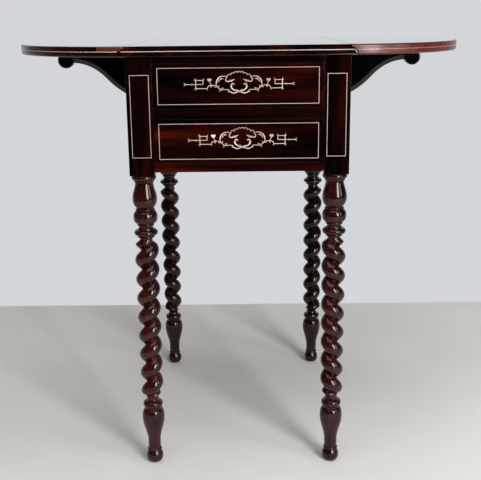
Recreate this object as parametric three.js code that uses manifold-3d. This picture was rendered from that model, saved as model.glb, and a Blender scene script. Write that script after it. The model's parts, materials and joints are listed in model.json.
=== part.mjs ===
// A drop-leaf sewing table on four barley-twist legs, open, in millimetres.
// +X is to the right of a person facing the drawers, +Y towards the back, +Z up.
// The origin is on the floor, in the middle of the four legs.
import Module from "manifold-3d";
import * as THREE from "three";
import { mergeVertices } from "three/addons/utils/BufferGeometryUtils.js";

const wasm = await Module();
wasm.setup();

// Driving dimensions
const tableHeight = 740;
const topThickness = 16.8;
const topHalfDepth = 262;
const jointLine = 178.6; // from the middle of the top to the leaf joint
const leafReach = 219.4; // from the leaf joint to the leaf's tip
const gap = 0.3; // between pieces that touch
const overshoot = 1; // by which a cutting body passes the face that it cuts

// Rule joint: a quarter-round edge on the top, a cove over it on the leaf
const hingeRise = 1; // of the hinge pin's axis above the top's underside
const ovoloRadius = 10.8;
const coveClearance = 0.4;

// Case
const blockWidth = 42; // the square head of each leg
const legX = 159.8;
const legY = 228.8;
const blockBottom = 530.6;
const apronBottom = 536.7;
const railDepth = 41;
const backThickness = 18;
const dustBoardHalfWidth = 115.5;
const dustBoard = [630, 634]; // its underside and top
const lowerDrawerBottom = 551.3;
const upperDrawerBottom = 640.3;
const drawerHeight = 71.4;
const sideThickness = 15;
const flyThickness = 20; // of the bracket arms and the rails that carry them
const flySetback = 2.3; // of their outside from the outside of the legs
const runnerThickness = 11.5;
const runnerLedge = 22; // how far a runner reaches under the drawer, and its guide above
const runnerClearance = 0.6; // beside the drawer

// Drawers
const frontThickness = 18;
const frontSetback = 0.2; // of the drawer fronts behind the front of the legs
const frontClearance = 0.7; // on each side of a drawer front
const sideClearance = 0.5; // by which a drawer's sides are narrower than its front
const drawerWall = 9;
const drawerSideHeight = 58;
const drawerLength = 391; // from the drawer front to the outside of its back
const drawerBottomThickness = 5;
const drawerBottomRise = 4;
const partitionThickness = 6;
const partitionDrop = 6; // below the top of the drawer sides
const partitionY = -42; // front face of the partition across the drawer

// Stringing
const stringWidth = 2;
const stringDepth = 1;
const edgeStringHeight = 1.6;
const drawerStringInsetX = 8.2;
const drawerStringInsetZ = 6.9;
const blockStringX = [143.8, 174.3];
const blockStringZ = [561.1, 694.1];
const topStringPastJoint = 6; // how far the string runs out over the quarter-round
const leafStringFromJoint = 10;

// Brackets
const bracketReach = 155.7; // from the pin to the middle of the round end
const bracketEndRadius = 14.9;
const bracketDrop = 89.2; // height of the arm at its root
const bracketNeckAngle = 1.11 * Math.PI; // where the ogee meets the round end
// Ogee of the arm: two cubic curves that start at the arm's lower root
const ogeeOne = [[27.5, 2.3], [53, 19.8], [72, 40.3]];
const ogeeTwo = [[90, 59.3], [109.5, 67.8]];
const knuckles = 5;
const barrelRadius = 10;
const pinRadius = 3;
const boreClearance = 0.15;
const socketClearance = 0.4; // round a wooden knuckle
const mitreClearance = 0.2;
const pinInset = 1; // of a pin's ends from the top and bottom of the knuckles

// Leaf hinges
const hingeY = [-190, 190];
const hingeWidth = 30;
const flapThickness = 1.8;
const knuckleRadius = 2.6;
const hingePinRadius = 1.1;
const topFlapLength = 30;
const leafFlapLength = 48;

// Legs: one strand wound round each, between two turned ends
const twistPitch = 34.6;
const twistTop = 419;
const twistBottom = 125.5;
const twistCrest = [20.9, 19.5]; // radius at the top and at the bottom of the twist
const twistValley = 7.8;
const twistNeck = [10.8, 10.3]; // radius where the strand fades out, top and bottom
const twistFade = 11; // length over which the strand grows out of a neck
const legSides = 10;
const twistStepsPerTurn = 7;
const leafSegments = 14;
const ellipseTrim = 0.002; // angle that keeps the ends of the leaf's curve off the joint line

// Values worked out from the dimensions above
const topUnderside = tableHeight - topThickness;
const caseTop = topUnderside - gap;
const hingeAxisZ = topUnderside + hingeRise;
const blockInnerX = legX - blockWidth / 2;
const blockOuterX = legX + blockWidth / 2;
const blockInnerY = legY - blockWidth / 2;
const frontFace = -(legY + blockWidth / 2);
const flyOuter = blockOuterX - flySetback;
const flyInner = flyOuter - flyThickness;
const pinX = (flyOuter + flyInner) / 2;
const bracketBottom = caseTop - bracketDrop;
const drawerHalfWidth = blockInnerX - frontClearance;
const drawerInside = drawerHalfWidth - sideClearance - drawerWall; // half the width inside
const stringMiddle = topUnderside + topThickness / 2;

const rosewood = new THREE.MeshStandardMaterial({ color: 0x3a1410, roughness: 0.25 });
const lining = new THREE.MeshStandardMaterial({ color: 0xa67c4e, roughness: 0.6 });
const inlay = new THREE.MeshStandardMaterial({ color: 0xd9c3a8, roughness: 0.35 });
const brass = new THREE.MeshStandardMaterial({ color: 0xa8843f, roughness: 0.4, metalness: 1 });
const iron = new THREE.MeshStandardMaterial({ color: 0x4a4744, roughness: 0.5, metalness: 1 });

const half = (value) => value / 2;

// Solids: a closed geometry as a manifold for joins and cuts, and back again
function solid(geometry) {
  const bare = geometry.clone();
  for (const name of Object.keys(bare.attributes)) {
    if (name !== "position") bare.deleteAttribute(name);
  }
  const merged = mergeVertices(bare, 1e-4);
  const index = merged.index.array;
  const corners = [];
  for (let i = 0; i < index.length; i += 3) {
    const [a, b, c] = [index[i], index[i + 1], index[i + 2]];
    if (a !== b && b !== c && c !== a) corners.push(a, b, c);
  }
  const vertProperties = new Float32Array(merged.attributes.position.array);
  const triVerts = new Uint32Array(corners);
  return new wasm.Manifold(new wasm.Mesh({ numProp: 3, vertProperties, triVerts }));
}

function geometryOf(body) {
  const mesh = body.getMesh();
  const geometry = new THREE.BufferGeometry();
  geometry.setAttribute("position", new THREE.BufferAttribute(mesh.vertProperties, 3));
  geometry.setIndex(new THREE.BufferAttribute(mesh.triVerts, 1));
  geometry.computeVertexNormals();
  return geometry;
}

const cut = (body, ...tools) => tools.reduce((left, tool) => left.subtract(tool), body);
const join = (...bodies) => bodies.reduce((left, right) => left.add(right));

// The same geometry on the other side of the X = 0 plane
function mirrored(geometry) {
  const other = (geometry.index ? geometry.clone() : mergeVertices(geometry)).scale(-1, 1, 1);
  const index = other.index.array;
  for (let i = 0; i < index.length; i += 3) {
    [index[i], index[i + 1]] = [index[i + 1], index[i]];
  }
  other.computeVertexNormals();
  return other;
}

// A box between two values on each axis
function box([x0, x1], [y0, y1], [z0, z1]) {
  const geometry = new THREE.BoxGeometry(Math.abs(x1 - x0), y1 - y0, z1 - z0);
  return geometry.translate((x0 + x1) / 2, (y0 + y1) / 2, (z0 + z1) / 2);
}

// A shape drawn in X and Z, extruded along Y
function plate(shape, [y0, y1], curveSegments = 8) {
  const options = { depth: y1 - y0, bevelEnabled: false, curveSegments };
  return new THREE.ExtrudeGeometry(shape, options).rotateX(Math.PI / 2).translate(0, y1, 0);
}

// A shape drawn in X and Y, extruded along Z
function slab(shape, [z0, z1], curveSegments = 8) {
  const options = { depth: z1 - z0, bevelEnabled: false, curveSegments };
  return new THREE.ExtrudeGeometry(shape, options).translate(0, 0, z0);
}

function uprightCylinder(x, y, radius, [z0, z1], sides = 24) {
  const geometry = new THREE.CylinderGeometry(radius, radius, z1 - z0, sides);
  return geometry.rotateX(Math.PI / 2).translate(x, y, (z0 + z1) / 2);
}

// A cylinder along Y
function lyingCylinder(x, z, radius, [y0, y1], sides = 12) {
  const geometry = new THREE.CylinderGeometry(radius, radius, y1 - y0, sides);
  return geometry.translate(0, (y0 + y1) / 2, 0).translate(x, 0, z);
}

function rectangle(shape, [x0, x1], [z0, z1]) {
  shape.moveTo(x0, z0);
  shape.lineTo(x1, z0);
  shape.lineTo(x1, z1);
  shape.lineTo(x0, z1);
  shape.closePath();
  return shape;
}

// A rectangular frame of stringing, its centre line on the given rectangle, cut
// into a face that looks to -Y. clearance above zero gives the groove that it lies in.
function stringFrame([x0, x1], [z0, z1], face, clearance = 0) {
  const out = half(stringWidth) + clearance;
  const outer = rectangle(new THREE.Shape(), [x0 - out, x1 + out], [z0 - out, z1 + out]);
  outer.holes.push(rectangle(new THREE.Path(), [x0 + out, x1 - out], [z0 + out, z1 - out]));
  const front = clearance ? face - overshoot : face;
  return plate(outer, [front, face + stringDepth + clearance]);
}

// Radius of the turned leg at a height, from a floor-to-block list of [height, radius]
const footProfile = [
  [0, 0], [0, 9], [1.4, 11], [4.4, 13.4], [8.4, 14.8], [12, 15], [16.5, 14.2], [20, 12.6],
  [22.4, 11.2], [23.6, 12.7], [26.4, 12.7], [28, 11.3], [48, 11.6], [62, 13.9], [74, 17.3],
  [88, 19.8], [97, 18.9], [104, 14.4], [107.5, 13.9], [111, 17.2], [116.5, 17],
  [119.5, 11.8], [122.5, 10.3],
];
const headProfile = [
  [421.5, 10.8], [423.2, 14.6], [425.2, 14.6], [427.5, 18.6], [430.5, 19.9], [434, 18.2],
  [438.5, 12.2], [441.5, 11.8], [444, 14.4], [446.5, 14.4], [451.5, 18.4], [458.5, 20.5],
  [465.5, 17.4], [469, 16.4], [473.3, 14.5], [476, 16.6], [481, 19.6], [489, 20.8],
  [497, 19.9], [506, 17.2], [515.5, 15.3], [520, 17.4], [523, 20.4], [527, 20.7],
  [529.6, 19.4], [534, 19.4], [534, 0],
];

// The strand stands out on one side of the leg and winds round it: hand is +1 for a
// right-hand twist, and phase is the height at which it stands out towards +X.
function twistRadius(z, azimuth, hand, phase) {
  const along = (z - twistBottom) / (twistTop - twistBottom);
  const crest = THREE.MathUtils.lerp(twistCrest[1], twistCrest[0], along);
  const turn = azimuth - (hand * 2 * Math.PI * (z - phase)) / twistPitch;
  const strand = twistValley + (crest - twistValley) * Math.abs(Math.cos(turn / 2));
  const neck = twistNeck[along < 0.5 ? 1 : 0];
  const fromEnd = Math.min(z - twistBottom, twistTop - z);
  return THREE.MathUtils.lerp(neck, strand, THREE.MathUtils.smoothstep(fromEnd, 0, twistFade));
}

function turnedLeg(hand, phase) {
  const steps = Math.round(((twistTop - twistBottom) / twistPitch) * twistStepsPerTurn);
  const twist = [];
  for (let i = 0; i <= steps; i++) {
    twist.push([THREE.MathUtils.lerp(twistBottom, twistTop, i / steps), twistValley]);
  }
  const profile = [...footProfile, ...twist, ...headProfile];
  const points = profile.map(([z, radius]) => new THREE.Vector2(radius, z));
  const geometry = new THREE.LatheGeometry(points, legSides).rotateX(Math.PI / 2);
  const position = geometry.attributes.position;
  for (let i = 0; i < position.count; i++) {
    const [x, y, z] = [position.getX(i), position.getY(i), position.getZ(i)];
    if (z < twistBottom - 0.01 || z > twistTop + 0.01) continue;
    const azimuth = Math.atan2(y, x);
    const radius = twistRadius(z, azimuth, hand, phase);
    position.setXY(i, radius * Math.cos(azimuth), radius * Math.sin(azimuth));
  }
  return solid(geometry);
}

// A leg in one piece: the square head with the turning below it, and on a front
// leg the groove for the stringing
function leg(sideX, sideY, hand, phase) {
  const side = half(blockWidth);
  const head = box([-side, side], [-side, side], [blockBottom, caseTop]);
  const whole = join(turnedLeg(hand, phase), solid(head));
  if (sideY > 0) return geometryOf(whole);
  const groove = blockString(sideX, gap).translate(-sideX * legX, legY, 0);
  return geometryOf(cut(whole, solid(groove)));
}

function blockString(side, clearance = 0) {
  const [inner, outer] = blockStringX;
  const across = side > 0 ? [inner, outer] : [-outer, -inner];
  return stringFrame(across, blockStringZ, frontFace, clearance);
}

// Leaf hinges. The knuckle lies on the rule joint's axis, let into the underside.
function hingeRecesses(flapFrom, flapTo) {
  const reach = knuckleRadius + gap;
  return hingeY.flatMap((y) => {
    const across = [y - half(hingeWidth) - gap, y + half(hingeWidth) + gap];
    const depth = topUnderside + flapThickness + gap;
    return [
      box([flapFrom, flapTo], across, [topUnderside - overshoot, depth]),
      box([jointLine - reach, jointLine + reach], across, [hingeAxisZ - reach, hingeAxisZ + reach]),
    ].map(solid);
  });
}

// One flap of a hinge with its share of the knuckle: [y0, y1] stretches along the pin
function hingeFlap([x0, x1], y, stretches) {
  const across = [y - half(hingeWidth), y + half(hingeWidth)];
  const zRange = [topUnderside, topUnderside + flapThickness];
  const clearance = knuckleRadius + gap;
  const inner = x0 < jointLine ? x1 : x0;
  const outside = x0 < jointLine ? [x0, jointLine - clearance] : [jointLine + clearance, x1];
  const tongueX = x0 < jointLine ? [outside[1] - gap, inner] : [inner, outside[0] + gap];
  const flap = solid(box(outside, across, zRange));
  const tongues = stretches.map((stretch) => solid(box(tongueX, stretch, zRange)));
  const barrels = stretches.map((stretch) =>
    solid(lyingCylinder(jointLine, hingeAxisZ, knuckleRadius, stretch)),
  );
  const bore = lyingCylinder(jointLine, hingeAxisZ, hingePinRadius + boreClearance, across);
  return geometryOf(cut(join(flap, ...tongues, ...barrels), solid(bore)));
}

function hingeStretches(y) {
  const third = hingeWidth / 3;
  const low = y - half(hingeWidth);
  const middle = [low + third + gap / 2, low + 2 * third - gap / 2];
  const ends = [[low, low + third - gap / 2], [low + 2 * third + gap / 2, low + hingeWidth]];
  return { middle, ends };
}

// The fixed top, with the quarter-round of the rule joint along both sides
function fixedTop() {
  const shape = new THREE.Shape();
  const filletBottom = hingeAxisZ + ovoloRadius;
  shape.moveTo(-jointLine, tableHeight);
  shape.lineTo(-jointLine, filletBottom);
  shape.absarc(-jointLine, hingeAxisZ, ovoloRadius, Math.PI / 2, Math.PI, false);
  shape.lineTo(-jointLine - ovoloRadius, topUnderside);
  shape.lineTo(jointLine + ovoloRadius, topUnderside);
  shape.lineTo(jointLine + ovoloRadius, hingeAxisZ);
  shape.absarc(jointLine, hingeAxisZ, ovoloRadius, 0, Math.PI / 2, false);
  shape.lineTo(jointLine, tableHeight);
  shape.closePath();
  const blank = solid(plate(shape, [-topHalfDepth, topHalfDepth]));
  const leafSide = jointLine + ovoloRadius + overshoot;
  const recesses = hingeRecesses(jointLine - topFlapLength - gap, leafSide);
  const others = recesses.map((tool) => solid(mirrored(geometryOf(tool))));
  const grooves = [-1, 1].map((side) => solid(topString(side, gap)));
  return geometryOf(cut(blank, ...recesses, ...others, ...grooves));
}

// The string along the middle of the top's front edge (side -1) or back edge (+1)
function topString(side, clearance = 0) {
  const depth = stringDepth + clearance;
  const halfHeight = half(edgeStringHeight) + clearance;
  const outer = topHalfDepth + (clearance ? overshoot : 0);
  const y = side > 0 ? [topHalfDepth - depth, outer] : [-outer, depth - topHalfDepth];
  const endX = jointLine + topStringPastJoint + clearance;
  return box([-endX, endX], y, [stringMiddle - halfHeight, stringMiddle + halfHeight]);
}

// Half an ellipse on the right of the joint line, drawn in X and Y
function leafOutline(inset, fromX) {
  const shape = new THREE.Shape();
  const [a, b] = [leafReach - inset, topHalfDepth - inset];
  shape.moveTo(fromX, -b);
  const quarter = Math.PI / 2 - ellipseTrim;
  shape.absellipse(jointLine, 0, a, b, -quarter, quarter, false);
  shape.lineTo(fromX, b);
  shape.closePath();
  return shape;
}

// The right leaf: a half ellipse with the cove of the rule joint on its straight side
function rightLeaf() {
  const blank = solid(slab(leafOutline(0, jointLine + gap), [topUnderside, tableHeight], leafSegments));
  const long = [-topHalfDepth - overshoot, topHalfDepth + overshoot];
  const coveRadius = ovoloRadius + coveClearance;
  const cove = lyingCylinder(jointLine, hingeAxisZ, coveRadius, long, 32);
  const lip = box([jointLine, jointLine + coveRadius], long, [topUnderside - overshoot, hingeAxisZ]);
  const recesses = hingeRecesses(jointLine, jointLine + leafFlapLength + gap);
  const groove = solid(leafString(gap));
  return geometryOf(cut(blank, solid(cove), solid(lip), ...recesses, groove));
}

// The string round the middle of the right leaf's edge
function leafString(clearance = 0) {
  const halfHeight = half(edgeStringHeight) + clearance;
  const z = [stringMiddle - halfHeight, stringMiddle + halfHeight];
  const outset = clearance ? overshoot : 0;
  const fromX = jointLine + leafStringFromJoint - clearance;
  const around = [z[0] - overshoot, z[1] + overshoot];
  const long = [-topHalfDepth - 2 * overshoot, topHalfDepth + 2 * overshoot];
  const ring = solid(slab(leafOutline(-outset, jointLine), z, leafSegments));
  const inside = leafOutline(stringDepth + clearance, jointLine - overshoot);
  const core = solid(slab(inside, around, leafSegments));
  return geometryOf(cut(ring, core, solid(box([0, fromX], long, around))));
}

// Heights of the wooden knuckles, counted from the bottom: the arm has the even ones
function knuckleSpan(i) {
  const height = bracketDrop / knuckles;
  const low = bracketBottom + i * height;
  return [i ? low + gap / 2 : low, i < knuckles - 1 ? low + height - gap / 2 : low + height];
}

const armKnuckles = [0, 2, 4];
const railKnuckles = [1, 3];

// Clears a neck that would meet the other one with the arm open: everything on one
// side of the upright 45 degree plane through the pin
function mitre(side) {
  const size = 3 * flyThickness;
  const z = [bracketBottom - overshoot, caseTop + overshoot];
  const range = side > 0 ? [-mitreClearance, size] : [-size, mitreClearance];
  return solid(box([-size, size], range, z).rotateZ(Math.PI / 4).translate(pinX, 0, 0));
}

function sockets(levels) {
  return levels.map((i) => {
    const [z0, z1] = knuckleSpan(i);
    return solid(uprightCylinder(pinX, 0, barrelRadius + socketClearance, [z0 - gap, z1 + gap]));
  });
}

function barrels(levels) {
  return levels.map((i) => solid(uprightCylinder(pinX, 0, barrelRadius, knuckleSpan(i))));
}

function pinBore() {
  const z = [bracketBottom - overshoot, caseTop + overshoot];
  return solid(uprightCylinder(pinX, 0, pinRadius + boreClearance, z, 16));
}

// The right bracket arm, open: an ogee underneath, a round end under the leaf
function rightBracket() {
  const endX = pinX + bracketReach;
  const endZ = caseTop - bracketEndRadius;
  const rootX = pinX + barrelRadius;
  const shape = new THREE.Shape();
  shape.moveTo(pinX, caseTop);
  shape.lineTo(pinX, bracketBottom);
  shape.lineTo(rootX, bracketBottom);
  const fromRoot = ([x, z]) => [rootX + x, bracketBottom + z];
  const meeting = [
    endX + bracketEndRadius * Math.cos(bracketNeckAngle),
    endZ + bracketEndRadius * Math.sin(bracketNeckAngle),
  ];
  shape.bezierCurveTo(...ogeeOne.flatMap(fromRoot));
  shape.bezierCurveTo(...ogeeTwo.flatMap(fromRoot), ...meeting);
  shape.absarc(endX, endZ, bracketEndRadius, bracketNeckAngle, Math.PI * 2.5, false);
  shape.closePath();
  const blank = solid(plate(shape, [-half(flyThickness), half(flyThickness)], 10));
  const neck = cut(blank, mitre(1), ...sockets(railKnuckles));
  return geometryOf(cut(join(neck, ...barrels(armKnuckles)), pinBore()));
}

// The fixed rail behind the right bracket, with the other knuckles and a notch under
// the knuckle of the back hinge
function rightFlyRail() {
  const length = [0, blockInnerY - gap];
  const blank = solid(box([flyInner, flyOuter], length, [bracketBottom, caseTop]));
  const reach = knuckleRadius + gap;
  const notch = box(
    [jointLine - reach, flyOuter + overshoot],
    [hingeY[1] - half(hingeWidth) - gap, hingeY[1] + half(hingeWidth) + gap],
    [hingeAxisZ - reach, caseTop + overshoot],
  );
  const neck = cut(blank, mitre(-1), solid(notch), ...sockets(armKnuckles));
  return geometryOf(cut(join(neck, ...barrels(railKnuckles)), pinBore()));
}

// A rail across the front, between the legs
function frontRail(z0, z1) {
  const halfWidth = blockInnerX - gap;
  return box([-halfWidth, halfWidth], [frontFace, frontFace + railDepth - gap], [z0, z1]);
}

// An L-shaped strip that a drawer slides on and is guided by
function drawerRunner(drawerBottom) {
  const top = drawerBottom - gap;
  const guideX = drawerHalfWidth + runnerClearance;
  const outerX = flyInner - sideThickness - 2 * gap;
  const shape = new THREE.Shape();
  shape.moveTo(guideX - runnerLedge, top - runnerThickness);
  shape.lineTo(outerX, top - runnerThickness);
  shape.lineTo(outerX, top + runnerLedge);
  shape.lineTo(guideX, top + runnerLedge);
  shape.lineTo(guideX, top);
  shape.lineTo(guideX - runnerLedge, top);
  shape.closePath();
  return plate(shape, [gap - blockInnerY, blockInnerY - gap]);
}

// A drawer as separate boards, its front flush with the legs
function drawer(name, bottom) {
  const front = frontFace + frontSetback;
  const behind = front + frontThickness;
  const back = behind + drawerLength;
  const sideX = [drawerInside, drawerInside + drawerWall];
  const sideZ = [bottom, bottom + drawerSideHeight];
  const insideX = [gap - sideX[0], sideX[0] - gap];
  const floorZ = [bottom + drawerBottomRise, bottom + drawerBottomRise + drawerBottomThickness];
  const stringX = [drawerStringInsetX - drawerHalfWidth, drawerHalfWidth - drawerStringInsetX];
  const stringZ = [bottom + drawerStringInsetZ, bottom + drawerHeight - drawerStringInsetZ];
  const board = box(
    [-drawerHalfWidth, drawerHalfWidth], [front, behind], [bottom, bottom + drawerHeight],
  );
  const groove = stringFrame(stringX, stringZ, front, gap);
  add(name + "_front", geometryOf(cut(solid(board), solid(groove))), rosewood);
  add(name + "_string", stringFrame(stringX, stringZ, front), inlay);
  for (const [label, side] of [["left", -1], ["right", 1]]) {
    const x = side > 0 ? sideX : [-sideX[1], -sideX[0]];
    add(`${name}_side_${label}`, box(x, [behind + gap, back], sideZ), lining);
  }
  add(name + "_back", box(insideX, [back - drawerWall, back], [floorZ[1] + gap, sideZ[1]]), lining);
  add(name + "_bottom", box(insideX, [behind + gap, back], floorZ), lining);
}

// Three compartments in the upper drawer for the sewing things
function drawerPartitions() {
  const x = drawerInside - gap;
  const floor = upperDrawerBottom + drawerBottomRise + drawerBottomThickness + gap;
  const top = upperDrawerBottom + drawerSideHeight - partitionDrop;
  const front = frontFace + frontSetback + frontThickness + gap;
  const across = [partitionY, partitionY + partitionThickness];
  const long = [-half(partitionThickness), half(partitionThickness)];
  add("sewing_partition_across", box([-x, x], across, [floor, top]), lining);
  add("sewing_partition_long", box(long, [front, partitionY - gap], [floor, top]), lining);
}

const table = new THREE.Group();

function add(name, geometry, material) {
  const mesh = new THREE.Mesh(geometry, material);
  mesh.name = name;
  table.add(mesh);
  return mesh;
}

// Adds a piece made for the right side, and its mirror image on the left
function addPair(name, right, material) {
  add(name + "_right", right, material);
  add(name + "_left", mirrored(right), material);
}

// Legs: the twists of a pair run opposite ways
const legs = [
  ["leg_front_left", -1, -1, 1, 260],
  ["leg_front_right", 1, -1, -1, 280.6],
  ["leg_back_left", -1, 1, -1, 255.2],
  ["leg_back_right", 1, 1, 1, 275.6],
];
for (const [name, sideX, sideY, hand, phase] of legs) {
  add(name, leg(sideX, sideY, hand, phase), rosewood).position.set(sideX * legX, sideY * legY, 0);
}
addPair("leg_string", blockString(1), inlay);

// Top and leaves
add("fixed_top", fixedTop(), rosewood);
add("top_string_front", topString(-1), inlay);
add("top_string_back", topString(1), inlay);
addPair("leaf", rightLeaf(), rosewood);
addPair("leaf_string", leafString(), inlay);
for (const [label, y] of [["front", hingeY[0]], ["back", hingeY[1]]]) {
  const { middle, ends } = hingeStretches(y);
  const across = [y - half(hingeWidth) + gap, y + half(hingeWidth) - gap];
  const topFlapX = [jointLine - topFlapLength, jointLine];
  const leafFlapX = [jointLine, jointLine + leafFlapLength];
  addPair(`hinge_${label}_top_flap`, hingeFlap(topFlapX, y, ends), brass);
  addPair(`hinge_${label}_leaf_flap`, hingeFlap(leafFlapX, y, [middle]), brass);
  addPair(`hinge_${label}_pin`, lyingCylinder(jointLine, hingeAxisZ, hingePinRadius, across, 12), iron);
}

// Case
add("top_rail", frontRail(upperDrawerBottom + drawerHeight + gap, caseTop), rosewood);
add("divider_rail", frontRail(lowerDrawerBottom + drawerHeight + gap, upperDrawerBottom - gap), rosewood);
add("bottom_rail", frontRail(apronBottom, lowerDrawerBottom - gap), rosewood);
add("back_panel", box(
  [gap - blockInnerX, blockInnerX - gap],
  [-frontFace - backThickness, -frontFace],
  [apronBottom, caseTop],
), rosewood);
const betweenLegs = [gap - blockInnerY, blockInnerY - gap];
const innerSide = [flyInner - gap - sideThickness, flyInner - gap];
addPair("side_panel", box(innerSide, betweenLegs, [apronBottom, caseTop]), lining);
addPair("side_apron", box([flyInner, flyOuter], betweenLegs, [apronBottom, bracketBottom - gap]), rosewood);
addPair("upper_runner", drawerRunner(upperDrawerBottom), lining);
addPair("lower_runner", drawerRunner(lowerDrawerBottom), lining);
const dustBoardX = [-dustBoardHalfWidth, dustBoardHalfWidth];
add("dust_board", box(dustBoardX, betweenLegs, dustBoard), lining);

// Brackets that hold the leaves up
addPair("bracket", rightBracket(), rosewood);
addPair("fly_rail", rightFlyRail(), rosewood);
const pinSpan = [bracketBottom + pinInset, caseTop - pinInset];
addPair("bracket_pin", uprightCylinder(pinX, 0, pinRadius, pinSpan, 16), iron);

// Drawers
drawer("upper_drawer", upperDrawerBottom);
drawer("lower_drawer", lowerDrawerBottom);
drawerPartitions();

export default table;
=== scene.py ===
"""The looks of a drop-leaf sewing table on four barley-twist legs, in metres.

Most wooden CAD nodes are replaced by finer pieces in the same place, with softened
arrises, polished rosewood or plain oak, stringing and marquetry. The hardware, the runners
and the fly rails keep their CAD shapes and get a better finish.
"""

import json
import math

import bmesh
import bpy
from mathutils import Matrix, Vector


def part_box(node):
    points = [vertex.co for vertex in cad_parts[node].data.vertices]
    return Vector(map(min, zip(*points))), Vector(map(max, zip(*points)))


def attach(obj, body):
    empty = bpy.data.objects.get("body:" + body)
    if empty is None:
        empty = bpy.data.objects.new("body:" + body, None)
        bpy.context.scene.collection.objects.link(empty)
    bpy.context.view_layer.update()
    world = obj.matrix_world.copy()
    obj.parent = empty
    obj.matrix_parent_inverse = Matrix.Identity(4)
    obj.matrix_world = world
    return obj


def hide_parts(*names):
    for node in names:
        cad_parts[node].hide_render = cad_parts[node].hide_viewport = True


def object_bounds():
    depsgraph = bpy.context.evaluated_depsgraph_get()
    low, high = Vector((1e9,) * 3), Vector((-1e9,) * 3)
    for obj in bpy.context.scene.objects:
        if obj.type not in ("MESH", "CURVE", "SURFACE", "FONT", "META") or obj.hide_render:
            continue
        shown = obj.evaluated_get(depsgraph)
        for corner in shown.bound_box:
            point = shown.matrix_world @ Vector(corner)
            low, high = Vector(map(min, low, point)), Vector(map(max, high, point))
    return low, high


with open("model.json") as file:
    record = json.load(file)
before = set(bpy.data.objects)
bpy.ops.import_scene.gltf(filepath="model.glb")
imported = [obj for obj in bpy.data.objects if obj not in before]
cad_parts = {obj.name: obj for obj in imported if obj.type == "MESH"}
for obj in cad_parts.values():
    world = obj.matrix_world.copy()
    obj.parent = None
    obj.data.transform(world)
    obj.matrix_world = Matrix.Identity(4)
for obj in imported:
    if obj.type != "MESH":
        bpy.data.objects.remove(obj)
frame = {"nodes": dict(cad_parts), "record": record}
cad_low, cad_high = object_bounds()

MM = 0.001
SIDES = {"left": -1, "right": 1}
BODY_OF = {node: body for body, nodes in frame["record"]["behaviour"]["bodies"].items() for node in nodes}


# Meshes ---------------------------------------------------------------------------

def finish_mesh(name, bm, material, sharp_degrees=32):
    """An object from a bmesh, smooth except where faces meet at a sharp angle."""
    bmesh.ops.recalc_face_normals(bm, faces=bm.faces)
    mesh = bpy.data.meshes.new(name)
    bm.to_mesh(mesh)
    bm.free()
    mesh.shade_smooth()
    mesh.set_sharp_from_angle(angle=math.radians(sharp_degrees))
    mesh.materials.append(material)
    piece = bpy.data.objects.new(name, mesh)
    bpy.context.scene.collection.objects.link(piece)
    settle_normals(piece)
    return piece


def settle_normals(piece):
    """Flat faces stay flat to the light right up to their rounded arrises."""
    weighted = piece.modifiers.new("weighted", "WEIGHTED_NORMAL")
    weighted.keep_sharp = True
    bpy.context.view_layer.update()
    evaluated = piece.evaluated_get(bpy.context.evaluated_depsgraph_get())
    settled = bpy.data.meshes.new_from_object(evaluated)
    piece.modifiers.clear()
    settled.name = piece.name
    piece.data = settled


def place(piece, slot, *nodes, body=None):
    """The piece rides on the body of the nodes that it stands for."""
    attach(piece, body or BODY_OF[nodes[0]])
    if nodes:
        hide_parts(*nodes)
    return piece


def add_box(bm, low, high):
    """A box in the bmesh, and its new edges."""
    made = bmesh.ops.create_cube(bm, size=1)
    size = Vector(high) - Vector(low)
    middle = (Vector(low) + Vector(high)) / 2
    for vert in made["verts"]:
        vert.co = Vector((vert.co[i] * size[i] + middle[i] for i in range(3)))
    return {edge for vert in made["verts"] for edge in vert.link_edges}


def soft_box(bm, low, high, arris):
    """A box with rounded arrises."""
    edges = list(add_box(bm, low, high))
    bmesh.ops.bevel(bm, geom=edges, offset=arris, segments=3, profile=0.5, affect="EDGES")


ROUGH_ARRIS = 0.7 * MM  # boards that only the side or the inside shows
LINING_ARRIS = 0.5 * MM
FRONT_ARRIS = 0.3 * MM
RAIL_ARRIS = 0.25 * MM


def board(node, material, slot, arris=ROUGH_ARRIS):
    """A plain board in place of a box-shaped node."""
    low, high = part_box(node)
    bm = bmesh.new()
    soft_box(bm, low, high, arris)
    return place(finish_mesh(node + "_board", bm, material), slot, node)


def ring_faces(bm, rings):
    """Joins rings of equally many vertices into a skin, with an end face on each end."""
    for lower, upper in zip(rings, rings[1:]):
        count = len(lower)
        for i in range(count):
            j = (i + 1) % count
            bm.faces.new((lower[i], lower[j], upper[j], upper[i]))
    bm.faces.new(rings[0])
    bm.faces.new(rings[-1])


def lathe(bm, profile, centre, turn=Matrix.Identity(3), sides=48, radius_at=None):
    """A turned solid from (height, radius) pairs, its axis through centre along turn's Z."""
    rings = []
    for height, radius in profile:
        ring = []
        for i in range(sides):
            azimuth = 2 * math.pi * i / sides
            r = radius_at(height, azimuth, radius) if radius_at else radius
            local = Vector((r * math.cos(azimuth), r * math.sin(azimuth), height))
            ring.append(bm.verts.new(centre + turn @ local))
        rings.append(ring)
    ring_faces(bm, rings)


def catmull(points, steps):
    """A smooth curve through the points, as tuples of any length."""
    padded = [points[0], *points, points[-1]]
    curve = []
    for p0, p1, p2, p3 in zip(padded, padded[1:], padded[2:], padded[3:]):
        for k in range(steps):
            t = k / steps
            curve.append(tuple(
                0.5 * (2 * b + (c - a) * t + (2 * a - 5 * b + 4 * c - d) * t * t
                       + (3 * b - a - 3 * c + d) * t ** 3)
                for a, b, c, d in zip(p0, p1, p2, p3)
            ))
    return curve + [tuple(points[-1])]


def smoothstep(t):
    """From 0 to 1 with a level start and end."""
    t = min(1, max(0, t))
    return t * t * (3 - 2 * t)


# Materials ------------------------------------------------------------------------

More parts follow.
